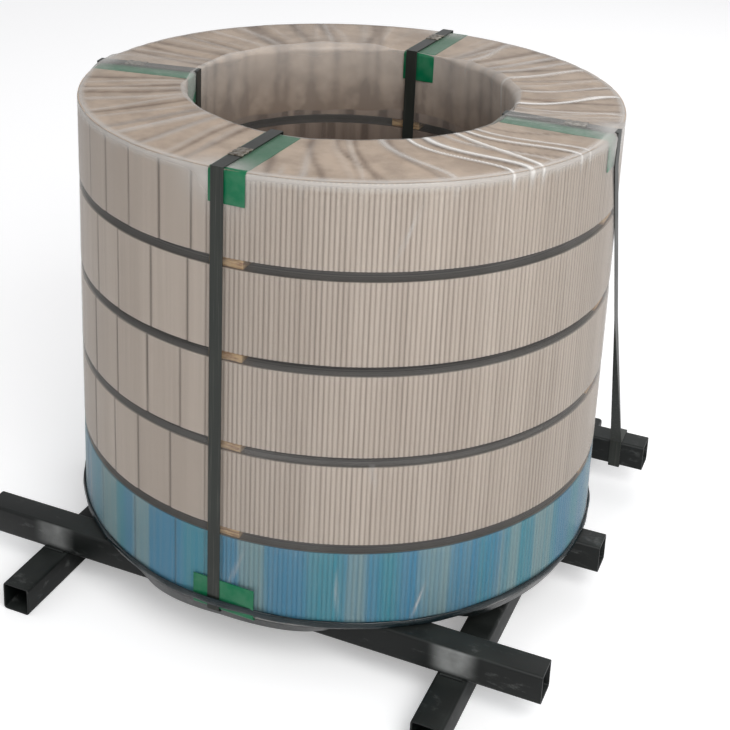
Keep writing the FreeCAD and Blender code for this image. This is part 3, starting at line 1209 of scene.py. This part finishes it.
                # The rounded rim is whitened: the film turning over the edge, partly painted highlight
                # along the rim.
                crest, milk = milk_of(angle, 1, outer)
                out = outer - bend * (1 - math.cos(arc)) + 0.65 * cover * (1 - arc / 1.6)
                return out, top - bend * (1 - math.sin(arc)) + cover * arc / 1.6, max(milk, 0.4)
            first = outer - bend
            if row <= wall + rim + flat:
                share = 1 - (row - wall - rim) / flat
                end, rise = self.inner_roll(angle, 0, eye, top)
                radius = end + (first - end) * share
                crest, milk = milk_of(angle, share, radius)
                over = over_guard(angle, radius)
                tent = max(bump_at(wrap(angle - s.angle) * radius, self.tent_reach) for s in Side)
                milk = max(milk, 0.45 * tent * bump_at(first - radius, 30 * MM), 0.1 * over,
                           0.4 * bump_at(first - radius, 5 * MM))
                crest *= min(1.5 * self.puff(angle), 1.0) * math.sin(math.pi * share) ** 0.5
                lift = (rise - top) * (1 - share) ** 2 + crest
                return radius, top + 0.4 * MM + lift * (1 - over) + self.guard_lift * over, milk
            crest, milk = milk_of(angle, 0, eye)
            done = row - wall - rim - flat
            over = over_guard(angle, eye)
            if done <= roll:
                radius, height = self.inner_roll(angle, done / roll, eye, top)
                lift = self.guard_lift * over * (1 - done / roll)
                return radius - self.guard_bulge * over * done / roll, height + lift, max(milk, 0.3)
            radius, height = self.inner_roll(angle, 1, eye, top)
            share = (done - roll) / inside
            sink = share * (height - bottom)
            clear = self.guard_bulge * over * bump_at(sink, 60 * MM)
            near = (radius - eye) * bump_at(sink, 60 * MM)
            return eye + near - clear, height - sink, max(milk, 0.3) * bump_at(sink, 70 * MM)

        rows = wall + rim + flat + roll + inside + 1
        piece = self.sheet("stretch_film_wrap", rows, False, "fold", place)
        finish_piece(piece, "clear_film", self.finishes.film, "stretch_film")

    def foot_ring(self) -> None:
        """Roll the film's lower edge into a rope round the foot of the lowest coil, dark as painted
        shade at the foot.
        """
        low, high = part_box("stretch_film")
        spokes, half, thick = 8, 5.6 * MM, 2.2 * MM

        def place(angle: float, row: int) -> tuple[float, float, float]:
            """Twist and thin the rope a little, and lead it out over guards and straps."""
            over = max(bump_at(wrap(angle - Side.FRONT.angle - 0.036), 0.14),
                       bump_at(wrap(angle - Side.REAR.angle + 0.036), 0.14),
                       bump_at(wrap(angle - Side.LEFT.angle), 0.06))
            out = high.x + 1.2 * MM + 4.6 * MM * min(1.6 * over, 1.0)
            twist = 0.5 * MM * math.sin(34 * angle + FULL_TURN * row / spokes)
            sway = 1.5 * MM * math.sin(3 * angle + 0.7) * math.sin(5 * angle)
            arc = FULL_TURN * row / spokes
            height = low.z + (7.5 + 7.0 * min(1.6 * over, 1.0)) * MM + sway
            milk = 0.95 - 0.4 * bump_at(math.sin(7 * angle), 0.2)
            return out + thick * math.cos(arc) + twist, height + half * math.sin(arc), milk

        piece = self.sheet("film_foot_rope", spokes, True, "fold", place)
        face_outward(piece)
        finish_piece(piece, "clear_film", self.finishes.rope)

    def skirt(self) -> None:
        """Let a loose hem of film sag from the foot, gathered in under the coil, dark and nearly opaque
        as painted shade under it.
        """
        low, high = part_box("stretch_film")
        beams = [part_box(f"skid_beam_{b}") for b in ("front", "middle", "rear")]
        rows, step = 10, 4.2 * MM

        def place(angle: float, row: int) -> tuple[float, float, float]:
            """Draw the hem up over each beam and let it hang between them."""
            y = high.x * math.sin(angle)
            over = max(bump_at(max(b[0].y - y, y - b[1].y, 0.0), 30 * MM) for b in beams)
            flap = max(0.0, 1 - abs(wrap(angle + math.radians(126))) / 0.62)
            flutter = 0.5 + 0.3 * math.sin(5 * angle + 0.6) + 0.2 * math.sin(13 * angle)
            sag = (1 - 0.985 * over) * (0.42 + 0.5 * flap + 0.1 * flutter)
            inward = (0.9 + 2.8 * over) * MM * row + 2.0 * MM * flutter * row / rows
            height = low.z + 2 * MM * (1 - min(row, 1)) - 0.3 * MM - step * row * sag
            return high.x - 0.4 * MM - inward, height, 0.4 + 0.5 * flutter * row / rows

        piece = self.sheet("film_skirt", rows, False, "fold", place)
        finish_piece(piece, "clear_film", self.finishes.hem)

    def build(self) -> None:
        """Build the paper and the film."""
        self.top_paper()
        self.film()
        self.foot_ring()
        self.skirt()


# ---------------------------------------------------------------- guards and straps


@dataclass
class Strapping:
    """The green guards, the steel straps and their seals."""

    finishes: Finishes
    guard_bend: float = 6 * MM
    guard_wall: float = 2 * MM
    seal_length: float = 32 * MM
    seal_width: float = 21.4 * MM
    seal_at: float = 0.352
    crimp_at: float = 6.5 * MM

    def guards(self) -> None:
        """Bend the four top guards over the outer rim and into the eye."""
        wall = self.guard_wall
        for side in Side:
            node = f"top_guard_{side.label}"
            low, high = local_box(node, side.angle)
            inner, outer, top = low.x + wall, high.x - wall, high.z - wall
            path = rounded_path([(inner, low.z), (inner, top), (outer, top), (outer, low.z)],
                                self.guard_bend)
            veiled = side in (Side.LEFT, Side.RIGHT)
            piece = BentStrip(node + "_strip", path, high.y - low.y, wall, 0.7 * MM,
                              side.angle, (low.y + high.y) / 2).build()
            finish_piece(piece, "green_plastic",
                         self.finishes.veiled_green if veiled else self.finishes.green, node)

    def foot_guards(self) -> None:
        """Bend the four small guards round the lowest edges."""
        wall = self.guard_wall
        for side in (Side.FRONT, Side.REAR):
            for place in ("outer", "inner"):
                node = f"foot_guard_{side.label}_{place}"
                low, high = local_box(node, side.angle)
                base = low.z + wall
                if place == "outer":
                    edge = high.x - wall
                    corners = [(low.x, base), (edge, base), (edge, high.z)]
                else:
                    edge = low.x + wall
                    corners = [(edge, high.z), (edge, base), (high.x, base)]
                piece = BentStrip(node + "_strip", rounded_path(corners, 4 * MM),
                                  high.y - low.y, wall, 0.7 * MM, side.angle,
                                  (low.y + high.y) / 2).build()
                finish_piece(piece, "green_plastic", self.finishes.green, node)

    def straps(self) -> None:
        """Dress the straps, whose shape in the frame is right."""
        for side in Side:
            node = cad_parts[f"strap_{side.label}"]
            node.data.materials.clear()
            node.data.materials.append(self.finishes.strap)

    def seals(self) -> None:
        """Model one crimped seal and copy it to the four sides."""
        node = "strap_seal_right"
        low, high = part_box(node)
        bpy.ops.mesh.primitive_cube_add(size=1, location=(0, 0, 0))
        model = bpy.context.object
        model.scale = (self.seal_length, self.seal_width, high.z - low.z)
        apply_place(model)
        with editing(model, "EDGE"):
            choose(model, "edges", lambda e: abs((e.verts[0].co - e.verts[1].co).x) > 0.02)
            bpy.ops.mesh.subdivide(number_cuts=11)
        for crimp in (-self.crimp_at, self.crimp_at):
            with editing(model, "VERT"):
                choose(model, "verts", lambda v: abs(v.co.x - crimp) < 1.6 * MM)
                bpy.ops.transform.resize(value=(1, 0.86, 0.7))
        round_edges(model, 0.4 * MM, 50)
        settle(model, 40)
        for side in Side:
            spot = (self.seal_at * math.cos(side.angle), self.seal_at * math.sin(side.angle),
                    (low.z + high.z) / 2)
            piece = copy_piece(model, f"strap_seal_{side.label}_crimped", spot, side.angle)
            finish_piece(piece, "seal_steel", self.finishes.seal, f"strap_seal_{side.label}")
        bpy.data.objects.remove(model)

    def build(self) -> None:
        """Build guards, straps and seals."""
        self.guards()
        self.foot_guards()
        self.straps()
        self.seals()


# ---------------------------------------------------------------- the studio


@dataclass
class Studio:
    """Floor, lights and camera."""

    eye: tuple[float, float, float] = (0.774, -1.907, 1.3612)
    heading: float = -0.0403 - math.radians(22.09)
    dip: float = 0.3147
    roll: float = 0.0265
    floor_glow: float = 0.3

    def floor(self) -> None:
        """Lay a plain pale floor."""
        bpy.ops.mesh.primitive_plane_add(size=60, location=(0, 0, -0.5 * MM))
        floor = bpy.context.object
        floor.name = "studio_floor"
        tree = Tree("pale_floor")
        dust = tree.noise((3, 3, 3), 4)
        seen = tree.add("ShaderNodeLightPath", {}, {}, "Is Camera Ray")
        glow = tree.add("ShaderNodeEmission", {}, {"Color": (1.0, 1.0, 1.0),
                                                   "Strength": seen * self.floor_glow})
        matt = tree.surface(
            Base_Color=tree.mix(dust * 0.03, (0.93, 0.93, 0.93), (0.88, 0.88, 0.88)),
            Roughness=0.8)
        floor.data.materials.append(tree.done(
            tree.add("ShaderNodeAddShader", {}, {0: matt, 1: glow})))

    def lights(self) -> None:
        """Hang soft lamps and set a white surround."""
        world = bpy.data.worlds.new("surround")
        bpy.context.scene.world = world
        world.use_nodes = True
        nodes, links = world.node_tree.nodes, world.node_tree.links
        nodes.clear()
        output = nodes.new("ShaderNodeOutputWorld")
        mix = nodes.new("ShaderNodeMixShader")
        plain, white = nodes.new("ShaderNodeBackground"), nodes.new("ShaderNodeBackground")
        plain.inputs["Color"].default_value = (0.98, 0.98, 1.0, 1)
        plain.inputs["Strength"].default_value = 0.52
        path = nodes.new("ShaderNodeLightPath")
        links.new(path.outputs["Is Camera Ray"], mix.inputs[0])
        links.new(plain.outputs[0], mix.inputs[1])
        links.new(white.outputs[0], mix.inputs[2])
        white.inputs["Color"].default_value = (1, 1, 1, 1)
        links.new(mix.outputs[0], output.inputs["Surface"])
        for name, place, size, power in (
                ("key_lamp", (2.3, -2.2, 3.0), 2.4, 108),
                ("left_lamp", (-2.6, -2.2, 2.6), 2.2, 8),
                ("back_lamp", (0.4, 3.2, 3.2), 2.6, 30)):
            data = bpy.data.lights.new(name, "AREA")
            data.size, data.energy = size, power
            lamp = bpy.data.objects.new(name, data)
            lamp.location = place
            aim = Vector((0, 0, 0.45)) - Vector(place)
            lamp.rotation_euler = aim.to_track_quat("-Z", "Y").to_euler()
            bpy.context.scene.collection.objects.link(lamp)

    def camera(self) -> None:
        """Set up the camera."""
        data = bpy.data.cameras.new("camera")
        data.lens, data.sensor_width = 69.39, 36.0
        data.shift_x, data.shift_y = 0.0959, -0.3296
        camera = bpy.data.objects.new("camera", data)
        camera.location = self.eye
        bpy.context.scene.collection.objects.link(camera)
        bpy.context.scene.camera = camera
        forward = Vector((math.sin(self.heading) * math.cos(self.dip),
                          math.cos(self.heading) * math.cos(self.dip), -math.sin(self.dip)))
        turn = forward.to_track_quat("-Z", "Y")
        camera.rotation_euler = turn.to_euler()
        camera.rotation_euler.rotate_axis("Z", self.roll)

    def build(self) -> None:
        """Set the scene."""
        self.floor()
        self.lights()
        self.camera()
        bpy.context.scene.view_settings.view_transform = "Standard"


def main() -> None:
    """Build the pack and the studio."""
    logging.basicConfig(level=logging.INFO, format="%(message)s")
    Studio().build()
    finishes = Finishes()
    Skid(finishes).build()
    CoilStack(finishes).build()
    Wrapping(finishes).build()
    Strapping(finishes).build()


if __name__ == "__main__":
    main()
